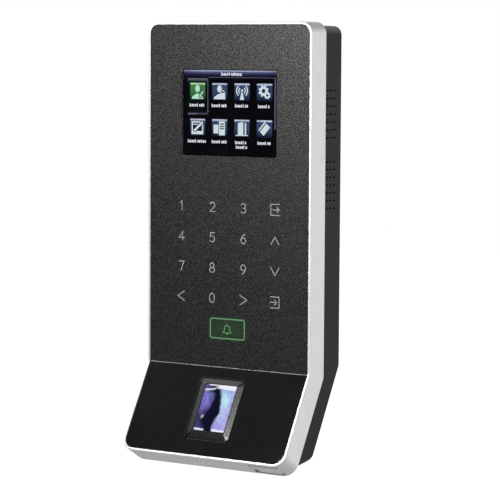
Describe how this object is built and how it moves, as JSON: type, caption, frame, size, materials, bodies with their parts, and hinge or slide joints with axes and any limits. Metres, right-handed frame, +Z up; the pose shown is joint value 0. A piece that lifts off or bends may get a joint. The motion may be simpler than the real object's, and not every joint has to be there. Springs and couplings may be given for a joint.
{
  "type": "fingerprint scanner terminal",
  "caption": "Wall-mounted access terminal with a colour display, touch keypad, lit bell key and a kicked-out optical finger sensor, in a silver frame with a dark rear case.",
  "frame": {"origin": "centre of the wall plate's back face, on the wall", "axes": "+Y into the wall, -Y out of the front face, +Z up, +X to the viewer's right"},
  "size_m": [0.0834, 0.0472, 0.1904],
  "materials": {
    "satin_silver": "satin",
    "charcoal_panel": "speckled satin, screen printed",
    "gloss_black": "gloss",
    "case_grey": "fine texture",
    "clear_window": "clear",
    "lcd_cell": "lit display",
    "sensor_glass": "polished",
    "inner_plastic": "moulded",
    "circuit_board": "solder mask",
    "chip_black": "moulded",
    "tin": "tinned",
    "steel": "zinc plated",
    "brass_contact": "plated",
    "nylon_white": "moulded",
    "relay_blue": "moulded",
    "seal_black": "matte",
    "light_guide": "lit green",
    "film_amber": "polyimide film"
  },
  "bodies": {
    "terminal": {"trim_frame": "satin_silver", "touch_panel": "charcoal_panel", "sensor_fascia": "gloss_black", "rear_case": "case_grey", "display_window": "clear_window", "lcd_glass": "lcd_cell", "sensor_prism": "sensor_glass", "front_chassis": "inner_plastic", "battery_holder": "inner_plastic", "speaker_frame": "inner_plastic", "sensor_bezel": "inner_plastic", "sensor_housing": "inner_plastic", "keypad_board": "circuit_board", "main_board": "circuit_board", "antenna_board": "circuit_board", "sensor_board": "circuit_board", "usb_board": "circuit_board", "touch_controller": "chip_black", "processor": "chip_black", "memory_chip": "chip_black", "supply_capacitor": "chip_black", "reset_switch": "chip_black", "tamper_switch": "chip_black", "sensor_camera": "chip_black", "lcd_frame": "tin", "shield_can": "tin", "clock_battery": "tin", "usb_port": "tin", "wall_plate": "steel", "tamper_spring": "steel", "speaker_magnet": "steel", "usb_cover_pin": "steel", "case_screw_1": "steel", "case_screw_2": "steel", "case_screw_3": "steel", "case_screw_4": "steel", "board_screw_1": "steel", "board_screw_2": "steel", "board_screw_3": "steel", "board_screw_4": "steel", "retaining_screw": "steel", "microphone": "brass_contact", "power_header": "nylon_white", "lock_header": "nylon_white", "rs485_header": "nylon_white", "ethernet_header": "nylon_white", "wiegand_header": "nylon_white", "bell_led": "nylon_white", "lcd_backlight": "nylon_white", "sensor_light": "nylon_white", "lock_relay": "relay_blue", "panel_gasket": "seal_black", "speaker_cone": "seal_black", "bell_light_guide": "light_guide", "lcd_flex": "film_amber", "sensor_flex": "film_amber"},
    "service_cover": {"usb_cover": "satin_silver"},
    "tamper": {"tamper_plunger": "nylon_white"},
    "reset": {"reset_button": "inner_plastic"}
  },
  "joints": [
    {"name": "usb_cover_hinge", "type": "hinge", "parent": "terminal", "child": "service_cover", "pos_m": [0.0369, -0.0418, -0.10831], "axis": [0, -0.866, 0.5], "range_deg": [0, 100]},
    {"name": "tamper_plunger_slide", "type": "slide", "parent": "terminal", "child": "tamper", "axis": [0, 1, 0], "range_m": [-0.0006, 0.0018], "stiffness_N_per_m": 150, "springref_m": 0.0025, "deforming": ["tamper_spring"]},
    {"name": "reset_button_slide", "type": "slide", "parent": "terminal", "child": "reset", "axis": [0, -1, 0], "range_m": [0, 0.0005], "stiffness_N_per_m": 600}
  ]
}
